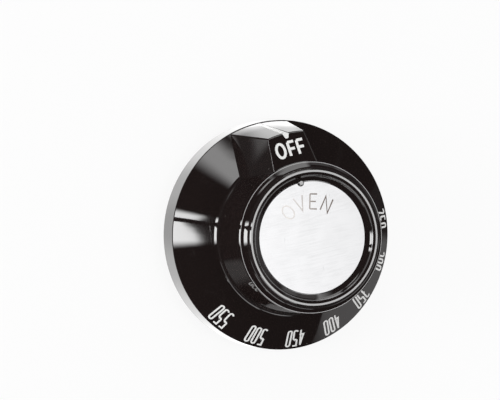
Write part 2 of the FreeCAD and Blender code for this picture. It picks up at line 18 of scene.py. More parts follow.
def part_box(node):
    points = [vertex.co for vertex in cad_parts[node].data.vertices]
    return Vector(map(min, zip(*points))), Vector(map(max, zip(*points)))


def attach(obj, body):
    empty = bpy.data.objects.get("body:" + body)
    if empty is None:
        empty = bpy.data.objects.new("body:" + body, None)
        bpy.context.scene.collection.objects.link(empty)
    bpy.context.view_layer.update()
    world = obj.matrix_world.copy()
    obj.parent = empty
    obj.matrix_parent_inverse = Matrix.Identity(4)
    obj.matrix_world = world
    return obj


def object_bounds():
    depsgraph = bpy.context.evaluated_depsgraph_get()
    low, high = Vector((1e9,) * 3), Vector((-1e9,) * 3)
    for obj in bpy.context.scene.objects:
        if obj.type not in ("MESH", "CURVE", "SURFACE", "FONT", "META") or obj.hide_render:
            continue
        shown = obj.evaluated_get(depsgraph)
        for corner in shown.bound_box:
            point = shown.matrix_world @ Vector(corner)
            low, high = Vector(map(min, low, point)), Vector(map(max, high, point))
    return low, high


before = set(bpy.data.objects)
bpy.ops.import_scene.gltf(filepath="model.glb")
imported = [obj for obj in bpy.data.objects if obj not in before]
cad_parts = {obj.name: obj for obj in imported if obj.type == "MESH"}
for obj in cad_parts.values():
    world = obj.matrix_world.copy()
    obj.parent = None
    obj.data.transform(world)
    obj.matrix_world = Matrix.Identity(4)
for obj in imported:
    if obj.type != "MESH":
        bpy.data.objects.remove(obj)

CAD_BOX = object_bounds()
print("nodes", sorted(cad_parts))
print("CAD box", [list(corner) for corner in CAD_BOX])

# %% [markdown]
# ## Measures taken from the model
#
# Lettering has to lie on the surface that carries it, seen from any side. Copying the CAD's formulas
# would be one way. Probing the imported mesh with rays is safer, because paint then follows the very
# triangles that are drawn. A bounding volume tree answers such rays quickly, so each node that carries
# paint gets one.

# %% Units and the surface probe
MM = 0.001
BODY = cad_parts["knob_body"]
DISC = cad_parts["front_disc"]
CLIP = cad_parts["shaft_clip"]

body_low, body_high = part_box("knob_body")
disc_low, disc_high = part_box("front_disc")
RIM_RADIUS = (body_high.x - body_low.x) / 2
DISC_RADIUS = (disc_high.x - disc_low.x) / 2
ABOVE = body_high.z + 5 * MM


def probe(node):
    """A tree of the node's triangles, for casting rays at it."""
    mesh = node.data
    return BVHTree.FromPolygons([v.co for v in mesh.vertices], [p.vertices for p in mesh.polygons])


BODY_PROBE = probe(BODY)
DISC_PROBE = probe(DISC)


def drop(tree, across, up):
    """The point and the normal straight below a place in plan."""
    point, normal, _, _ = tree.ray_cast(Vector((across, up, ABOVE)), Vector((0, 0, -1)))
    return point, normal


print(f"rim radius {RIM_RADIUS / MM:.2f} mm, disc radius {DISC_RADIUS / MM:.2f} mm")

# %% [markdown]
# ## Camera
#
# The photograph was taken with a long lens from above and to the left, so near and far edges differ
# little in scale. The place and the direction come from fitting the knob's circles to those in the
# picture. The image is 500 by 400 pixels, and a focal length of 2000 pixels on a 36 mm sensor is a 144
# mm lens.

# %% Camera
IMAGE_WIDTH = 500
FOCAL_PIXELS = 2000
SENSOR = 36
CAMERA_PLACE = Vector((-172.38, 57.48, 497.14)) * MM
CAMERA_LOOK = Vector((0.3192, -0.0896, -0.9434))
CAMERA_UP = Vector((0.2311, 0.9728, -0.0141))


def add_camera():
    """The photograph's camera, as a place, a direction and an upright."""
    data = bpy.data.cameras.new("camera")
    data.sensor_width = SENSOR
    data.lens = FOCAL_PIXELS / IMAGE_WIDTH * SENSOR
    data.clip_start = 0.01
    data.clip_end = 20
    camera = bpy.data.objects.new("camera", data)
    bpy.context.scene.collection.objects.link(camera)
    back = -CAMERA_LOOK.normalized()
    right = CAMERA_UP.cross(back).normalized()
    turn = Matrix((right, back.cross(right), back)).transposed()
    camera.matrix_world = Matrix.Translation(CAMERA_PLACE) @ turn.to_4x4()
    bpy.context.scene.camera = camera
    return camera


camera = add_camera()
bpy.context.scene.view_settings.view_transform = "Standard"
print(f"lens {camera.data.lens:.0f} mm, {CAMERA_PLACE.length / MM:.0f} mm from the knob")

# %% [markdown]
# ## Node helpers
#
# Every finish below is a small tree of nodes. A few helpers keep those trees readable: one feeds a
# socket with a value or a link, one adds a node and sets its inputs by name, and one starts a group
# whose sockets have names. A group is built once and placed in each material with its own values, as a
# workshop keeps one jig for many parts.

# %% Helpers for node trees
def feed(tree, socket, value):
    """Link an output to an input socket, or set the socket to a plain value."""
    if isinstance(value, bpy.types.NodeSocket):
        tree.links.new(value, socket)
    else:
        socket.default_value = value


def input_socket(node, name):
    """The input with this name in words joined by underscores, or input number N for the name input_N."""
    if name.startswith("input_"):
        return node.inputs[int(name.removeprefix("input_"))]
    wanted = name.replace("_", " ").lower()
    return next(s for s in node.inputs if s.name.lower() == wanted and s.enabled)


def add_node(tree, kind, **inputs):
    """A node of the kind, with values or links for its named inputs."""
    node = tree.nodes.new(kind)
    for name, value in inputs.items():
        feed(tree, input_socket(node, name), value)
    return node


def math_node(tree, operation, first, second=0.0, third=0.0):
    """The result of one sum on two or three values or links."""
    node = tree.nodes.new("ShaderNodeMath")
    node.operation = operation
    for socket, value in zip(node.inputs, (first, second, third)):
        feed(tree, socket, value)
    return node.outputs[0]


def ramp(tree, value, low, high, bottom=0.0, top=1.0, smooth=True):
    """The value taken from low..high to bottom..top, held outside that range."""
    span = {"From_Min": low, "From_Max": high, "To_Min": bottom, "To_Max": top}
    node = add_node(tree, "ShaderNodeMapRange", Value=value, **span)
    if smooth:
        node.interpolation_type = "SMOOTHSTEP"
    return node.outputs["Result"]


print("helpers for nodes ready")

# %% Helpers for groups and materials
def new_group(name, inputs, outputs):
    """An empty shader group with named number sockets, and its two ends."""
    tree = bpy.data.node_groups.new(name, "ShaderNodeTree")
    for socket, value in inputs.items():
        made = tree.interface.new_socket(socket, in_out="INPUT", socket_type="NodeSocketFloat")
        made.default_value = value
    for socket in outputs:
        tree.interface.new_socket(socket, in_out="OUTPUT", socket_type="NodeSocketFloat")
    return tree, tree.nodes.new("NodeGroupInput").outputs, tree.nodes.new("NodeGroupOutput").inputs


def place_group(tree, group, **inputs):
    """The outputs of a group placed in a material's tree with its own values."""
    node = tree.nodes.new("ShaderNodeGroup")
    node.node_tree = group
    for name, value in inputs.items():
        node.inputs[name.replace("_", " ").capitalize()].default_value = value
    return node.outputs


def new_material(name, **constants):
    """A material with a Principled shader and its constant inputs, and the tree and shader."""
    material = bpy.data.materials.new(name)
    material.use_nodes = True
    tree = material.node_tree
    shader = tree.nodes["Principled BSDF"]
    for key, value in constants.items():
        input_socket(shader, key).default_value = value
    return material, tree, shader


print("helpers for groups and materials ready")

# %% [markdown]
# ## Shared effects
#
# Four effects appear on more than one material. Moulded and painted skins have a faint waviness that
# bends reflections. Handling leaves hair scratches. Rolled sheet and strip have a grain that runs one
# way. Dust settles as fine specks. Each is a group that gives a height, a mask or a roughness, never a
# whole shader.

# %% Skin waviness
PEEL_SHARE = 0.12


def make_skin_group():
    """Long and short waves of a moulded or painted skin, as a height."""
    tree, given, result = new_group("skin_waves", {"Wave": 3.0, "Peel": 0.8}, ["Height"])
    place = tree.nodes.new("ShaderNodeTexCoord").outputs["Object"]
    long_scale = math_node(tree, "DIVIDE", 1 / MM, given["Wave"])
    short_scale = math_node(tree, "DIVIDE", 1 / MM, given["Peel"])
    long_wave = add_node(tree, "ShaderNodeTexNoise", Vector=place, Scale=long_scale, Detail=1.0)
    short_wave = add_node(tree, "ShaderNodeTexNoise", Vector=place, Scale=short_scale, Detail=2.0)
    weak = math_node(tree, "MULTIPLY", short_wave.outputs[0], PEEL_SHARE)
    height = math_node(tree, "ADD", long_wave.outputs[0], weak)
    tree.links.new(height, result["Height"])
    return tree


SKIN = make_skin_group()
print("group", SKIN.name)

# %% Hair scratches
SCRATCH_TURNS = (0.6, 2.2)
SCRATCH_STRETCH = 0.06
SCRATCH_HALF = 0.006
SCRATCHED_PATCH = (0.52, 0.7)


def make_scratch_group():
    """Sparse hair scratches in two directions, as a mask that is 1 on a scratch."""
    tree, given, result = new_group("hair_scratches", {"Spacing": 4.0, "Amount": 0.3}, ["Mask"])
    place = tree.nodes.new("ShaderNodeTexCoord").outputs["Object"]
    scale = math_node(tree, "DIVIDE", 1 / MM, given["Spacing"])
    masks = []
    stretch = (1.0, SCRATCH_STRETCH, 1.0)
    for turn in SCRATCH_TURNS:
        lay = add_node(tree, "ShaderNodeMapping", Vector=place, Rotation=(0, 0, turn), Scale=stretch)
        bend = add_node(tree, "ShaderNodeTexNoise", Vector=lay.outputs[0], Scale=scale, Detail=2.0)
        ridge = math_node(tree, "ABSOLUTE", math_node(tree, "SUBTRACT", bend.outputs[0], 0.5))
        line = ramp(tree, ridge, 0.0, SCRATCH_HALF, 1.0, 0.0)
        patch = add_node(tree, "ShaderNodeTexNoise", Vector=place, Scale=scale, Detail=1.0)
        some = ramp(tree, patch.outputs[0], *SCRATCHED_PATCH)
        masks.append(math_node(tree, "MULTIPLY", line, some))
    both = math_node(tree, "MAXIMUM", *masks)
    tree.links.new(math_node(tree, "MULTIPLY", both, given["Amount"]), result["Mask"])
    return tree


SCRATCHES = make_scratch_group()
print("group", SCRATCHES.name)

# %% Rolled grain
GRAIN_STRETCH = 0.05
GRAIN_CLOUD = 5 * MM
GRAIN_SPREAD = (0.12, 0.4)


def make_grain_group():
    """The grain of rolled metal along X, as a height and a roughness between two values."""
    sockets = {"Pitch": 0.25, "Low": 0.1, "High": 0.2}
    tree, given, result = new_group("rolled_grain", sockets, ["Height", "Roughness"])
    place = tree.nodes.new("ShaderNodeTexCoord").outputs["Object"]
    scale = math_node(tree, "DIVIDE", 1 / MM, given["Pitch"])
    lay = add_node(tree, "ShaderNodeMapping", Vector=place, Scale=(GRAIN_STRETCH, 1.0, 1.0))
    fibre = add_node(tree, "ShaderNodeTexNoise", Vector=lay.outputs[0], Scale=scale, Detail=3.0)
    cloud = add_node(tree, "ShaderNodeTexNoise", Vector=place, Scale=1 / GRAIN_CLOUD, Detail=2.0)
    mixed = math_node(tree, "MULTIPLY", fibre.outputs[0], cloud.outputs[0])
    span = math_node(tree, "SUBTRACT", given["High"], given["Low"])
    rough = math_node(tree, "MULTIPLY_ADD", ramp(tree, mixed, *GRAIN_SPREAD), span, given["Low"])
    tree.links.new(fibre.outputs[0], result["Height"])
    tree.links.new(rough, result["Roughness"])
    return tree


GRAIN = make_grain_group()
print("group", GRAIN.name)

# %% Dust specks
def make_dust_group():
    """Fine specks of dust, as a mask that is 1 on a speck."""
    tree, given, result = new_group("dust", {"Pitch": 1.5, "Size": 0.06, "Amount": 0.3}, ["Mask"])
    place = tree.nodes.new("ShaderNodeTexCoord").outputs["Object"]
    scale = math_node(tree, "DIVIDE", 1 / MM, given["Pitch"])
    cells = add_node(tree, "ShaderNodeTexVoronoi", Vector=place, Scale=scale)
    dot = math_node(tree, "LESS_THAN", cells.outputs["Distance"], given["Size"])
    split = add_node(tree, "ShaderNodeSeparateColor", Color=cells.outputs["Color"])
    kept = math_node(tree, "LESS_THAN", split.outputs[0], given["Amount"])
    tree.links.new(math_node(tree, "MULTIPLY", dot, kept), result["Mask"])
    return tree


DUST = make_dust_group()
print("group", DUST.name)

# %% [markdown]
# ## Black phenolic
#
# The body is a thermoset moulding with the mirror skin of its polished mould. Its black is slightly
# warm, and nearly all that is seen of it is reflection. A clear coat over the base would give two
# reflections that do not quite agree, so one strong, smooth reflection is used. Waviness bends it a
# little, and scratches and dust break it up, as on a part that has been handled.

# %% Phenolic
PHENOLIC_BLACK = (0.012, 0.008, 0.0075, 1)
PHENOLIC_WORN = (0.05, 0.043, 0.04, 1)
DUST_GREY = (0.55, 0.53, 0.5, 1)
SKIN_ROUGHNESS = 0.035
SCRATCH_ROUGHNESS = 0.3
DUST_ROUGHNESS = 0.5
MIX_SHARE = 0
MIX_COLOURS = (6, 7)
MIX_RESULT = 2


def mix_colour(tree, share, first, second):
    """The colour between two colours or links, at a share that varies over the surface."""
    node = tree.nodes.new("ShaderNodeMix")
    node.data_type = "RGBA"
    tree.links.new(share, node.inputs[MIX_SHARE])
    for number, value in zip(MIX_COLOURS, (first, second)):
        feed(tree, node.inputs[number], value)
    return node.outputs[MIX_RESULT]


def make_phenolic():
    """Glossy black moulding with a polished skin."""
    material, tree, shader = new_material("phenolic_skin", IOR=1.6, Specular_IOR_Level=1.0)
    skin = place_group(tree, SKIN, wave=4.0, peel=0.9)
    scratch = place_group(tree, SCRATCHES, spacing=5.0, amount=0.2)
    dust = place_group(tree, DUST, pitch=2.2, size=0.035, amount=0.12)
    worn = mix_colour(tree, scratch["Mask"], PHENOLIC_BLACK, PHENOLIC_WORN)
    colour = mix_colour(tree, dust["Mask"], worn, DUST_GREY)
    tree.links.new(colour, shader.inputs["Base Color"])
    scratched = math_node(tree, "MULTIPLY_ADD", scratch["Mask"], SCRATCH_ROUGHNESS, SKIN_ROUGHNESS)
    rough = math_node(tree, "MULTIPLY_ADD", dust["Mask"], DUST_ROUGHNESS, scratched)
    tree.links.new(rough, shader.inputs["Roughness"])
    bump = add_node(tree, "ShaderNodeBump", Height=skin["Height"], Strength=0.05, Distance=0.02 * MM)
    tree.links.new(bump.outputs[0], shader.inputs["Normal"])
    return material


PHENOLIC = make_phenolic()
print("material", PHENOLIC.name)

# %% [markdown]
# ## Bright aluminium and spring steel
#
# The disc is blanked from bright rolled sheet, so it mirrors the lamps softly and shows a fine grain
# one way. The leaf inside the socket is tempered strip, darker and rougher. A picture of rolled metal
# could be wrapped on, but noise stretched along one axis needs neither a picture nor an unwrapped mesh.
# Both metals take the same grain and scratch groups with values of their own, and the disc takes a few
# specks as well.

# %% Metals
ALUMINIUM_BRIGHT = (0.9, 0.9, 0.91, 1)
ALUMINIUM_MARKED = (0.7, 0.7, 0.72, 1)
STEEL_GREY = (0.42, 0.42, 0.44, 1)
STEEL_RUBBED = (0.6, 0.6, 0.6, 1)


def make_aluminium():
    """Bright rolled sheet of the front disc."""
    material, tree, shader = new_material("bright_aluminium", Metallic=1.0, Anisotropic=0.3)
    grain = place_group(tree, GRAIN, pitch=0.22, low=0.1, high=0.2)
    scratch = place_group(tree, SCRATCHES, spacing=3.0, amount=0.5)
    dust = place_group(tree, DUST, pitch=1.4, size=0.03, amount=0.15)
    marked = math_node(tree, "MAXIMUM", scratch["Mask"], dust["Mask"])
    colour = mix_colour(tree, marked, ALUMINIUM_BRIGHT, ALUMINIUM_MARKED)
    tree.links.new(colour, shader.inputs["Base Color"])
    tree.links.new(grain["Roughness"], shader.inputs["Roughness"])
    bump = add_node(tree, "ShaderNodeBump", Height=grain["Height"], Strength=0.1, Distance=0.01 * MM)
    tree.links.new(bump.outputs[0], shader.inputs["Normal"])
    return material


def make_spring_steel():
    """Tempered strip of the leaf in the socket."""
    material, tree, shader = new_material("tempered_strip", Metallic=1.0)
    grain = place_group(tree, GRAIN, pitch=0.15, low=0.25, high=0.45)
    scratch = place_group(tree, SCRATCHES, spacing=2.0, amount=0.6)
    colour = mix_colour(tree, scratch["Mask"], STEEL_GREY, STEEL_RUBBED)
    tree.links.new(colour, shader.inputs["Base Color"])
    tree.links.new(grain["Roughness"], shader.inputs["Roughness"])
    bump = add_node(tree, "ShaderNodeBump", Height=grain["Height"], Strength=0.2, Distance=0.01 * MM)
    tree.links.new(bump.outputs[0], shader.inputs["Normal"])
    return material


ALUMINIUM = make_aluminium()
SPRING_STEEL = make_spring_steel()
print("materials", ALUMINIUM.name, SPRING_STEEL.name)

# %% [markdown]
# ## Paints
#
# The scale, OFF and the index groove carry a white enamel, rolled or pressed on, with a slight sheen
# and a few pores. The disc's word is a thin grey print whose colour runs from pale at its left end to
# dark at its right. Films this thin need no depth in the shader, so both are plain colours that the
# dust group breaks up.

# %% Paints
PAINT_WHITE = (0.86, 0.86, 0.85, 1)
PAINT_PORE = (0.45, 0.44, 0.43, 1)
PRINT_PALE = (0.86, 0.83, 0.8, 1)
PRINT_DARK = (0.16, 0.12, 0.1, 1)
PRINT_PALE_END = -5.5 * MM
PRINT_DARK_END = 6 * MM


def make_white_paint():
    """White enamel of the scale and the index groove."""
    material, tree, shader = new_material("white_enamel", Roughness=0.35)
    skin = place_group(tree, SKIN, wave=0.8, peel=0.2)
    dust = place_group(tree, DUST, pitch=0.7, size=0.1, amount=0.25)
    tree.links.new(mix_colour(tree, dust["Mask"], PAINT_WHITE, PAINT_PORE), shader.inputs["Base Color"])
    bump = add_node(tree, "ShaderNodeBump", Height=skin["Height"], Strength=0.3, Distance=0.02 * MM)
    tree.links.new(bump.outputs[0], shader.inputs["Normal"])
    return material


def make_grey_print():
    """Thin grey print that pales towards one end of the word."""
    material, tree, shader = new_material("grey_print", Roughness=0.5)
    place = tree.nodes.new("ShaderNodeTexCoord").outputs["Object"]
    across = add_node(tree, "ShaderNodeSeparateXYZ", Vector=place).outputs["X"]
    # The word's colour runs from pale at its left end to dark at its right.
    pale_to_dark = ramp(tree, across, PRINT_PALE_END, PRINT_DARK_END)
    dust = place_group(tree, DUST, pitch=0.5, size=0.2, amount=0.3)
    ink = mix_colour(tree, pale_to_dark, PRINT_PALE, PRINT_DARK)
    tree.links.new(mix_colour(tree, dust["Mask"], ink, PRINT_PALE), shader.inputs["Base Color"])
    return material


ENAMEL = make_white_paint()
PRINT = make_grey_print()
print("materials", ENAMEL.name, PRINT.name)

# %% [markdown]
# ## Finishes on the CAD pieces
#
# The moulding, the disc and the leaf came from the CAD model with plain colours. Modelling them again
# would only risk their sizes, so each keeps its mesh, and the finish takes the place of the plain
# colour in its one slot.

# %% The CAD nodes take their finishes
for node, finish in ((BODY, PHENOLIC), (DISC, ALUMINIUM), (CLIP, SPRING_STEEL)):
    node.material_slots[0].material = finish
    print(node.name, "takes", finish.name)

# %% [markdown]
# ## Strokes for lettering
#
# The numerals were cut with a single-stroke engraving alphabet: tall narrow figures of one line width.
# A font would give other shapes, so each figure is a few centre lines, straight or round, widened to a
# ribbon. Where ribbons cross, their faces would overlap. A constrained triangulation of all of them,
# which keeps only the triangles inside some ribbon, gives one clean face set. It is then laid on the
# surface and thickened.

# %% Centre lines to one clean face set
ARC_STEPS = 10
SHARPEST_MITRE = 0.4
SAME_POINT = 1e-3


def arc(centre, radii, start, end):
    """Points on an arc of an ellipse, from one angle to another in degrees."""
    steps = [math.radians(start + (end - start) * i / ARC_STEPS) for i in range(ARC_STEPS + 1)]
    return [(centre[0] + radii[0] * math.cos(a), centre[1] + radii[1] * math.sin(a)) for a in steps]


def ribbon(line, half, closed):
    """The points left and right of a centre line, mitred at its corners."""
    points = [Vector(p) for p in line]
    sides = []
    for i, point in enumerate(points):
        before = points[i - 1] if closed or i else None
        after = points[(i + 1) % len(points)] if closed or i + 1 < len(points) else None
        along_in = (point - before).normalized() if before else (after - point).normalized()
        along_out = (after - point).normalized() if after else along_in
        along = (along_in + along_out).normalized()
        mitre = half / max(along.dot(along_in), SHARPEST_MITRE)
        out = Vector((-along.y, along.x)) * mitre
        sides.append((point + out, point - out))
    return sides


def fill_strokes(strokes, width):
    """Triangles of all the strokes' ribbons together, with no overlap."""
    points, faces = [], []
    for line, closed in strokes:
        sides = ribbon(line, width / 2, closed)
        first = len(points)
        points += [p for pair in sides for p in pair]
        for i in range(len(sides) if closed else len(sides) - 1):
            here = first + 2 * i
            there = first + 2 * ((i + 1) % len(sides))
            faces.append((here + 1, there + 1, there, here))
    flat, _, triangles, _, _, owners = delaunay_2d_cdt(points, [], faces, 1, width * SAME_POINT)
    return flat, [t for t, owner in zip(triangles, owners) if owner]


print("an arc has", ARC_STEPS, "steps")

# %% [markdown]
# ## The alphabet
#
# A figure is drawn about its own middle, in a box of a given width and height measured to the centre
# lines. Only the figures that the knob carries are needed. Rounds are arcs, so a narrower box gives
# narrower rounds and not squashed ones.

# %% Figures
def figure_0(wide, tall):
    bend = wide / 2
    line = arc((0, tall / 2 - bend), (bend, bend), 0, 180)
    line += arc((0, bend - tall / 2), (bend, bend), 180, 360)
    return [(line, True)]


def figure_2(wide, tall):
    bend = wide / 2
    line = arc((0, tall / 2 - bend), (bend, bend), 170, -25) + [(-bend, -tall / 2), (bend, -tall / 2)]
    return [(line, False)]


def figure_3(wide, tall):
    bend = wide / 2
    waist = bend * 0.6
    top = arc((0, tall / 2 - bend), (bend, bend), 170, 0) + arc((0, waist), (bend, waist), 0, -90)
    foot = arc((0, -waist), (bend, waist), 90, 0) + arc((0, bend - tall / 2), (bend, bend), 0, -170)
    return [(top, False), (foot, False)]


def figure_4(wide, tall):
    bar = -tall * 0.22
    stem = wide * 0.28
    bar_end = wide / 2 + wide * 0.12
    line = [(bar_end, bar), (-wide / 2, bar), (stem, tall / 2)]
    return [(line, False), ([(stem, tall / 2), (stem, -tall / 2)], False)]


def figure_5(wide, tall):
    bend = wide / 2
    waist = tall * 0.1
    line = [(bend, tall / 2), (-bend, tall / 2), (-bend, waist)]
    bowl = [(-bend, waist), (0, waist)] + arc((0, waist - bend), (bend, bend), 90, 0)
    bowl += arc((0, bend - tall / 2), (bend, bend), 0, -165)
    return [(line, False), (bowl, False)]


FIGURES = {"0": figure_0, "2": figure_2, "3": figure_3, "4": figure_4, "5": figure_5}
print("figures", "".join(FIGURES))

# %% Letters
def letter_O(wide, tall):
    radii = (wide / 2, tall / 2)
    line = arc((0, 0), radii, 0, 180)[:-1] + arc((0, 0), radii, 180, 360)[:-1]
    return [(line, True)]


def letter_V(wide, tall):
    return [([(-wide / 2, tall / 2), (0, -tall / 2), (wide / 2, tall / 2)], False)]


def bars(wide, levels):
    """Level strokes to the right of a stem, each at its height and reaching its share of the width."""
    return [([(-wide / 2, y), (-wide / 2 + wide * reach, y)], False) for y, reach in levels]


def letter_E(wide, tall):
    stem = ([(-wide / 2, tall / 2), (-wide / 2, -tall / 2)], False)
    return [stem] + bars(wide, [(tall / 2, 1), (0, 0.85), (-tall / 2, 1)])


def letter_F(wide, tall):
    stem = ([(-wide / 2, tall / 2), (-wide / 2, -tall / 2)], False)
    return [stem] + bars(wide, [(tall / 2, 1), (0, 0.95)])


def letter_N(wide, tall):
    left, right = -wide / 2, wide / 2
    foot, top = -tall / 2, tall / 2
    return [([(left, foot), (left, top), (right, foot), (right, top)], False)]


LETTERS = {"O": letter_O, "V": letter_V, "E": letter_E, "F": letter_F, "N": letter_N}
print("letters", "".join(LETTERS))

# %% [markdown]
# ## Laying paint on the knob
#
# A glyph is laid flat at its place, with its top pointing outwards, and every point is then dropped
# onto the surface and raised by the thickness of the paint. A Solidify modifier gives the film its
# depth, so that it reaches into the surface, and a small bevel rounds its edge.

# %% Laying glyphs
FILM = 0.035 * MM
FILM_DEPTH = 0.06 * MM
FILM_ROUND = 0.015 * MM
FILM_ROUND_ANGLE = math.radians(50)


def lay_glyph(tree, strokes, width, angle, radius, shift=0.0):
    """Points and triangles of a glyph on the surface, clockwise from the pointer by an angle in degrees."""
    turn = math.radians(angle)
    outward = Vector((math.sin(turn), math.cos(turn), 0))
    point, normal = drop(tree, *(outward * radius).xy)
    up = (outward - normal * outward.dot(normal)).normalized()
    right = up.cross(normal)
    flat, triangles = fill_strokes(strokes, width)
    laid = []
    for p in flat:
        place = point + right * (p.x + shift) + up * p.y
        on_surface, facing = drop(tree, place.x, place.y)
        laid.append(on_surface + facing * FILM)
    return laid, triangles


def make_print(name, glyphs, finish):
    """One piece from all the glyphs of a print, riding on the knob."""
    points, faces = [], []
    for laid, triangles in glyphs:
        first = len(points)
        points += laid
        faces += [[first + i for i in t] for t in triangles]
    mesh = bpy.data.meshes.new(name)
    mesh.from_pydata(points, [], faces)
    mesh.validate()
    piece = bpy.data.objects.new(name, mesh)
    bpy.context.scene.collection.objects.link(piece)
    mesh.materials.append(finish)
    film = piece.modifiers.new("film", "SOLIDIFY")
    film.thickness = FILM_DEPTH
    film.offset = -1
    edge = piece.modifiers.new("edge", "BEVEL")
    edge.width = FILM_ROUND
    edge.segments = 2
    edge.limit_method = "ANGLE"
    edge.angle_limit = FILM_ROUND_ANGLE
    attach(piece, "root")
    print(f"{name}: {len(points)} points, {len(faces)} triangles")
    return piece


print(f"a paint film stands {FILM / MM:.3f} mm proud")

# %% [markdown]
# ## The temperature scale
#
# Seven numbers run clockwise round the skirt, tops outwards, from 250 to 550 in even steps. Their
# figures are 5.6 mm tall on the slope and only 1.5 mm wide. A picture on the skirt could carry them,
# but strokes of real paint stay sharp close up and are part of the mesh. Each figure is turned about
# the axis by itself, so that a number follows the skirt's curve.

# %% Scale
SCALE_FIRST = 94.7
SCALE_STEP = 23.05
SCALE_NUMBERS = range(250, 551, 50)
SCALE_RADIUS = 27.1 * MM
FIGURE_PITCH = 3.7
FIGURE_BOX = (1.0 * MM, 5.1 * MM)
FIGURE_STROKE = 0.46 * MM


def scale_glyphs():
    """Every figure of the scale, number by number."""
    for step, value in enumerate(SCALE_NUMBERS):
        middle = SCALE_FIRST + SCALE_STEP * step
        for place, figure in enumerate(str(value)):
            angle = middle + (place - 1) * FIGURE_PITCH
            yield lay_glyph(BODY_PROBE, FIGURES[figure](*FIGURE_BOX), FIGURE_STROKE, angle, SCALE_RADIUS)


scale = make_print("temperature_scale", scale_glyphs(), ENAMEL)

# %% [markdown]
# ## OFF on the pointer lug
#
# The lug's sloping front carries OFF in heavier strokes. Turned about the axis as on the scale, the
# letters would lean apart. On the real knob they stand side by side on a flat face, so they share one
# place and are shifted sideways along it.

# %% OFF
OFF_RADIUS = 22.85 * MM
OFF_HEIGHT = 3.6 * MM
OFF_STROKE = 0.7 * MM
OFF_LETTERS = [
    ("O", -2.6 * MM, 2.2 * MM),
    ("F", 0.5 * MM, 1.65 * MM),
    ("F", 2.95 * MM, 1.65 * MM),
]

off = make_print(
    "off_mark",
    [
        lay_glyph(BODY_PROBE, LETTERS[letter](width, OFF_HEIGHT), OFF_STROKE, 0, OFF_RADIUS, shift)
        for letter, shift, width in OFF_LETTERS
    ],
    ENAMEL,
)

# %% [markdown]
# ## The word on the disc
#
# OVEN follows the disc's edge in thin grey strokes, each letter upright on its own radius. A text
# object bent along a circle would space them evenly. The real letters differ in width and spacing, so
# each has an angle and a width of its own.

# %% OVEN
WORD_RADIUS = 9.08 * MM
WORD_HEIGHT = 3.75 * MM
WORD_STROKE = 0.35 * MM
WORD_LETTERS = [
    ("O", -32.4, 2.6 * MM),
    ("V", -8.3, 2.5 * MM),
    ("E", 14.6, 1.9 * MM),
    ("N", 37.7, 2.1 * MM),
]

word = make_print(
    "disc_word",
    [
        lay_glyph(DISC_PROBE, LETTERS[letter](width, WORD_HEIGHT), WORD_STROKE, angle, WORD_RADIUS)
        for letter, angle, width in WORD_LETTERS
    ],
    PRINT,
)

# %% [markdown]
# ## Paint in the index groove
#
# The pointer's groove is filled with white enamel, a little below its lips. The groove is a straight
# cut that gets shallower towards the rim. A flat strip would leave gaps at its slanting walls, so the
# fill is a ruled solid between two sections: one in the lug's front face and one at the rim. Each
# section follows the groove's walls and sinks just into them.

# %% Index fill
INDEX_MOUTH = 1.8 * MM
INDEX_FLOOR = 0.9 * MM
INDEX_DEPTH = 1.25 * MM
INDEX_FOOT_DEPTH = 0.3 * MM
INDEX_SINK = 0.05 * MM
INDEX_KEY = 0.03 * MM
RIM_HEIGHT = 7.1 * MM
ABOVE_RIM = 0.1 * MM
BESIDE_GROOVE = 1.3 * MM
CLEAR_OF_GROOVE = 2.2 * BESIDE_GROOVE
NEAR_TIP = 25 * MM
BELOW_TIP = 0.3 * MM
FACE_STEP = 1 * MM


def outer_face(level):
    """How far the lug's outer face stands out at a height, beside the groove."""
    start = Vector((BESIDE_GROOVE, 2 * RIM_RADIUS, level))
    return BODY_PROBE.ray_cast(start, Vector((0, -1, 0)))[0].y


def groove_section(outer, depth, level_at):
    """Corners of the fill across the groove, from lip to lip by way of the floor."""
    lip = outer - INDEX_SINK
    floor = outer - depth - INDEX_KEY
    slope = (INDEX_MOUTH - INDEX_FLOOR) / 2 / INDEX_DEPTH
    half_lip = INDEX_FLOOR / 2 + slope * (depth - INDEX_SINK) + INDEX_KEY
    half_floor = INDEX_FLOOR / 2 + INDEX_KEY
    plan = [(-half_lip, lip), (-half_floor, floor), (half_floor, floor), (half_lip, lip)]
    return [Vector((x, y, level_at(y))) for x, y in plan]


def make_index_fill():
    """The enamel in the groove as a closed solid."""
    tip_level = drop(BODY_PROBE, BESIDE_GROOVE, outer_face(NEAR_TIP) - FACE_STEP)[0].z - BELOW_TIP
    tip = outer_face(tip_level)
    near, far = (drop(BODY_PROBE, CLEAR_OF_GROOVE, tip - FACE_STEP * n)[0] for n in (1, 2))
    fall = (near.z - far.z) / (near.y - far.y)

    def front_level(y):
        return near.z + (y - near.y) * fall - INDEX_SINK

    foot_level = RIM_HEIGHT + ABOVE_RIM
    front = groove_section(tip, INDEX_DEPTH, front_level)
    foot = groove_section(outer_face(foot_level), INDEX_FOOT_DEPTH, lambda y: foot_level)
    count = len(front)
    sides = [(i, (i + 1) % count, (i + 1) % count + count, i + count) for i in range(count)]
    faces = sides + [tuple(reversed(range(count))), tuple(range(count, 2 * count))]
    mesh = bpy.data.meshes.new("index_fill")
    mesh.from_pydata(front + foot, [], faces)
    mesh.materials.append(ENAMEL)
    piece = bpy.data.objects.new("index_fill", mesh)
    bpy.context.scene.collection.objects.link(piece)
    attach(piece, "root")
    print(f"index fill from height {front[0].z / MM:.1f} to {foot[0].z / MM:.1f} mm")
    return piece


index_fill = make_index_fill()
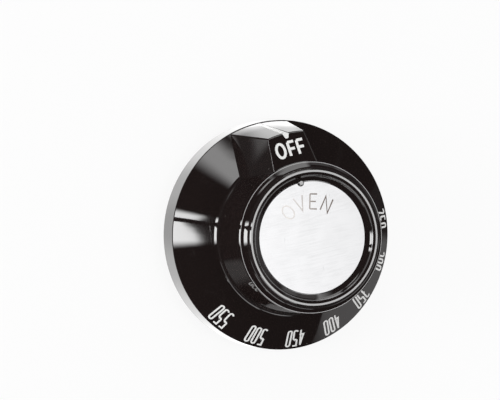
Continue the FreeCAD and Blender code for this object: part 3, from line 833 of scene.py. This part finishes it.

# %% [markdown]
# ## Floor
#
# The knob lies on a white table. Camera rays and reflections see it as white, and part of it is plain
# matte white, so that the knob's shadow stays. For reflections the white glow is a painted pool of
# light round the knob. Beyond it the painted glow falls off, and the table goes nearly dark in reflections.

# %% Floor
FLOOR_HALF = 4.0
FLOOR_WHITE = (0.9, 0.9, 0.9, 1)
GLOW_SHARE = 0.88
PAINTED_POOL_RADIUS = 33 * MM
PAINTED_POOL_EDGE = 35.5 * MM
DIM_GLOW = 0.05


def make_floor_finish():
    """Matte white that glows for camera rays, and for mirror rays in a painted pool of light round the
    knob.
    """
    material = bpy.data.materials.new("white_table")
    material.use_nodes = True
    tree = material.node_tree
    tree.nodes.clear()
    rays = tree.nodes.new("ShaderNodeLightPath").outputs
    place = tree.nodes.new("ShaderNodeTexCoord").outputs["Object"]
    away = add_node(tree, "ShaderNodeVectorMath", input_0=place)
    away.operation = "LENGTH"
    # Painted pool of light: for mirror rays the table glows white near the knob and nearly dark beyond.
    painted_pool = ramp(tree, away.outputs["Value"], PAINTED_POOL_RADIUS, PAINTED_POOL_EDGE, 1.0, DIM_GLOW)
    seen = math_node(tree, "MAXIMUM", rays["Is Camera Ray"], painted_pool)
    mirrored = math_node(tree, "MAXIMUM", rays["Is Glossy Ray"], rays["Is Transmission Ray"])
    glow = add_node(tree, "ShaderNodeEmission", Color=(1, 1, 1, 1), Strength=seen)
    matte = add_node(tree, "ShaderNodeBsdfDiffuse", Color=FLOOR_WHITE)
    direct = math_node(tree, "MULTIPLY", rays["Is Camera Ray"], GLOW_SHARE)
    share = math_node(tree, "MAXIMUM", direct, mirrored)
    parts = {"input_1": matte.outputs[0], "input_2": glow.outputs[0]}
    mix = add_node(tree, "ShaderNodeMixShader", Fac=share, **parts)
    output = tree.nodes.new("ShaderNodeOutputMaterial")
    tree.links.new(mix.outputs[0], output.inputs["Surface"])
    return material


def add_floor():
    """A wide flat table under the knob's rim."""
    mesh = bpy.data.meshes.new("floor")
    corners = [(-1, -1), (1, -1), (1, 1), (-1, 1)]
    points = [(x * FLOOR_HALF, y * FLOOR_HALF, CAD_BOX[0].z) for x, y in corners]
    mesh.from_pydata(points, [], [(0, 1, 2, 3)])
    mesh.materials.append(make_floor_finish())
    floor = bpy.data.objects.new("floor", mesh)
    bpy.context.scene.collection.objects.link(floor)
    return floor


floor = add_floor()
print(f"floor at height {CAD_BOX[0].z:.4f}")

# %% [markdown]
# ## Light
#
# A glossy black part shows its surroundings, so the lamps are placed by what the photograph shows
# mirrored in it: a softbox at the left split by a bar, a weaker panel beyond the lug, fainter cards for
# the dish, the ring and the lug, and low ones for the skirt and for the fillet where the hub rises from
# it. One even light would be simpler, but it would turn the black grey. Each card is given by the
# directions that it covers, seen from the knob, and by its radiance. Its ends can fade, as a softbox
# does at its edges.

# %% Helpers for lamps
LAMP_DISTANCE = 0.9


def heading(azimuth, elevation):
    """The direction at an azimuth from +X and an elevation, in degrees."""
    a, e = math.radians(azimuth), math.radians(elevation)
    return Vector((math.cos(a) * math.cos(e), math.sin(a) * math.cos(e), math.sin(e)))


def add_lamp(name, place, toward, wide, tall, radiance):
    """A rectangular lamp that shines back against a direction, unseen by the camera."""
    data = bpy.data.lights.new(name, "AREA")
    data.shape = "RECTANGLE"
    data.size = wide
    data.size_y = tall
    data.energy = radiance * math.pi * wide * tall
    data.use_nodes = True
    lamp = bpy.data.objects.new(name, data)
    lamp.visible_camera = False
    bpy.context.scene.collection.objects.link(lamp)
    lamp.location = place
    lamp.rotation_mode = "QUATERNION"
    lamp.rotation_quaternion = toward.to_track_quat("Z", "Y")
    print(f"{name}: {wide:.3f} by {tall:.3f} m, {data.energy:.3f} W")
    return lamp


def add_card(name, azimuths, elevations, radiance, distance=LAMP_DISTANCE):
    """A lamp that covers a range of azimuths and elevations seen from the knob, facing it."""
    azimuth = sum(azimuths) / 2
    elevation = sum(elevations) / 2
    half_wide = math.radians(azimuths[1] - azimuths[0]) / 2 * math.cos(math.radians(elevation))
    half_tall = math.radians(elevations[1] - elevations[0]) / 2
    toward = heading(azimuth, elevation)
    wide, tall = 2 * distance * math.tan(half_wide), 2 * distance * math.tan(half_tall)
    return add_lamp(name, toward * distance, toward, wide, tall, radiance)


def soften(lamp, first=0.0, last=0.0, foot=0.0, top=0.0):
    """Let a card go dark over a share of it at its first and last azimuth, its foot and its top."""
    tree = lamp.data.node_tree
    place = tree.nodes.new("ShaderNodeNewGeometry").outputs["Parametric"]
    across, up, _ = add_node(tree, "ShaderNodeSeparateXYZ", Vector=place).outputs
    strength = 1.0
    for way, share in ((across, first), (up, foot)):
        if share:
            strength = math_node(tree, "MULTIPLY", ramp(tree, way, 0, share), strength)
    for way, share in ((across, last), (up, top)):
        if share:
            strength = math_node(tree, "MULTIPLY", ramp(tree, way, 1 - share, 1, 1, 0), strength)
    tree.links.new(strength, tree.nodes["Emission"].inputs["Strength"])


print(f"most lamps stand {LAMP_DISTANCE} m away")

# %% Cards of light
LOW_DISTANCE = 0.15

soften(add_card("softbox_main", (159.7, 177.5), (0.5, 38.06), 7.0), last=0.35, top=0.013)
soften(add_card("softbox_side", (149.3, 155.1), (0.5, 38.0), 6.5), first=0.65, top=0.009)
soften(add_card("far_panel", (89, 120), (24, 40), 2.0), first=0.4, last=0.4)
soften(add_card("room_card", (-38, 32), (7.5, 46), 0.2), first=0.3, last=0.4, top=0.4)
soften(add_card("edge_strip", (20, 40), (15, 46), 0.45), first=0.3, last=0.3, foot=0.2, top=0.2)
soften(add_card("dish_card", (33, 61), (19, 42), 0.3), first=0.3, last=0.3, foot=0.2, top=0.2)
soften(add_card("lug_card", (56, 90), (0, 40), 1.4), first=0.15, last=0.15, foot=0.15, top=0.15)
soften(add_card("fillet_card_left", (-154, -106), (7, 17), 1.3), first=0.15, last=0.1)
soften(add_card("fillet_card_right", (-108, -80), (4, 10), 1.3), first=0.1, last=0.2)
soften(add_card("low_card_right", (-76, -13), (0, 11), 0.45, LOW_DISTANCE), first=0.3, last=0.1)
soften(add_card("low_card_left", (-170, -135), (0, 9), 0.7, LOW_DISTANCE), first=0.2, last=0.5)

# %% [markdown]
# ## Reflectors on the table
#
# The rim and the lug's outer face stand upright, so from above they mirror the table just beside them.
# White cards lying there make them as pale as they are in the photograph. A brighter table would do
# that too, but evenly, and the real rim runs from grey at the left to white above and below. So a row
# of eight cards follows the rim round its left side, each with a strength of its own.

# %% Reflectors on the table
ON_TABLE = 0.05 * MM
FADED_END = 0.4
LUG_CARD = {"away": 35.3 * MM, "wide": 36 * MM, "deep": 9 * MM}
SIDE_CARD = {"away": 43 * MM, "wide": 14 * MM, "deep": 12 * MM}
RIM_CARD = {"away": 31 * MM, "wide": 20 * MM, "deep": 4 * MM}
RIM_CARD_FIRST = 96
RIM_CARD_STEP = 22
RIM_CARD_LEVELS = (3, 4)
RIM_RADIANCES = (0.9, 0.9, 0.45, 0.2, 0.53, 0.85, 1.0, 1.0)


def add_reflector(name, level, azimuth, radiance, away, wide, deep, edge=0.0):
    """A card lying on the table, at an azimuth and a distance from the axis, with faded ends.

    A ray that meets two cards at one height counts only the first, so overlapping cards differ in level.
    """
    place = heading(azimuth, 0) * away + Vector((0, 0, ON_TABLE * level))
    lamp = add_lamp(name, place, Vector((0, 0, -1)), wide, deep, radiance)
    turn = Matrix.Rotation(math.radians(azimuth - 90), 4, "Z").to_quaternion()
    lamp.rotation_quaternion = turn @ lamp.rotation_quaternion
    soften(lamp, first=FADED_END, last=FADED_END, foot=edge, top=edge)


add_reflector("table_card_lug", level=1, azimuth=78, radiance=1.45, **LUG_CARD)
add_reflector("table_card_side", level=2, azimuth=128, radiance=0.5, **SIDE_CARD, edge=FADED_END)
for count, radiance in enumerate(RIM_RADIANCES):
    level = RIM_CARD_LEVELS[count % 2]
    azimuth = RIM_CARD_FIRST + RIM_CARD_STEP * count
    add_reflector(f"rim_card_{count}", level, azimuth, radiance, **RIM_CARD)

# %% [markdown]
# ## Light for the level faces
#
# The disc is a mirror, and the ring's level edges lie in the same plane, so both show the same lamp
# overhead. Black plastic returns a tenth of its light and bright metal nine tenths. One lamp cannot
# suit both, so light linking gives each its own. The plastic gets a bright card in the place that the
# edges show. The metal gets a white ceiling and four dim walls, which keep it bright from all sides.

# %% Linked cards
CEILING_SIDE = 1.3
CEILING_RADIANCE = 1.05
CEILING_FADE = 0.28
WALL_AZIMUTHS = (45, 135, 225, 315)
WALL_HALF = 44
WALL_ELEVATIONS = (4, 56)
WALL_RADIANCE = 0.7


def shine_only_on(lamp, pieces):
    """Let a lamp reach only some pieces."""
    group = bpy.data.collections.new(lamp.name + "_pieces")
    for piece in pieces:
        group.objects.link(piece)
    lamp.light_linking.receiver_collection = group


shine_only_on(add_card("edge_card", (-48, 12), (58, 80), 4.5), [BODY, scale, off, index_fill, floor])
overhead = heading(0, 90)
ceiling_place = overhead * LAMP_DISTANCE
ceiling = add_lamp("ceiling_card", ceiling_place, overhead, CEILING_SIDE, CEILING_SIDE, CEILING_RADIANCE)
soften(ceiling, first=CEILING_FADE, last=CEILING_FADE, foot=CEILING_FADE, top=CEILING_FADE)
shine_only_on(ceiling, [DISC, word])
for azimuth in WALL_AZIMUTHS:
    azimuths = (azimuth - WALL_HALF, azimuth + WALL_HALF)
    wall = add_card(f"wall_card_{azimuth}", azimuths, WALL_ELEVATIONS, WALL_RADIANCE)
    shine_only_on(wall, [DISC, CLIP])

# %% [markdown]
# ## Room
#
# The room gives a soft even light to matte surfaces. Mirror rays see it nearly dark, because the walls
# of a studio are far off and unlit, and camera rays see white, so that a low view has the same clean
# background as the photograph.

# %% World
ROOM_LIGHT = 0.5
ROOM_MIRRORED = 0.015
ROOM_SEEN = 1.0


def make_world():
    """A soft white room that is dark in reflections and white behind the knob."""
    world = bpy.data.worlds.new("studio")
    bpy.context.scene.world = world
    world.use_nodes = True
    tree = world.node_tree
    rays = tree.nodes.new("ShaderNodeLightPath").outputs
    dark_in_mirrors = ramp(tree, rays["Is Glossy Ray"], 0, 1, ROOM_LIGHT, ROOM_MIRRORED, smooth=False)
    strength = ramp(tree, rays["Is Camera Ray"], 0, 1, dark_in_mirrors, ROOM_SEEN, smooth=False)
    background = tree.nodes["Background"]
    background.inputs["Color"].default_value = (1, 1, 1, 1)
    tree.links.new(strength, background.inputs["Strength"])


make_world()
print(f"room light {ROOM_LIGHT}, in mirrors {ROOM_MIRRORED}")
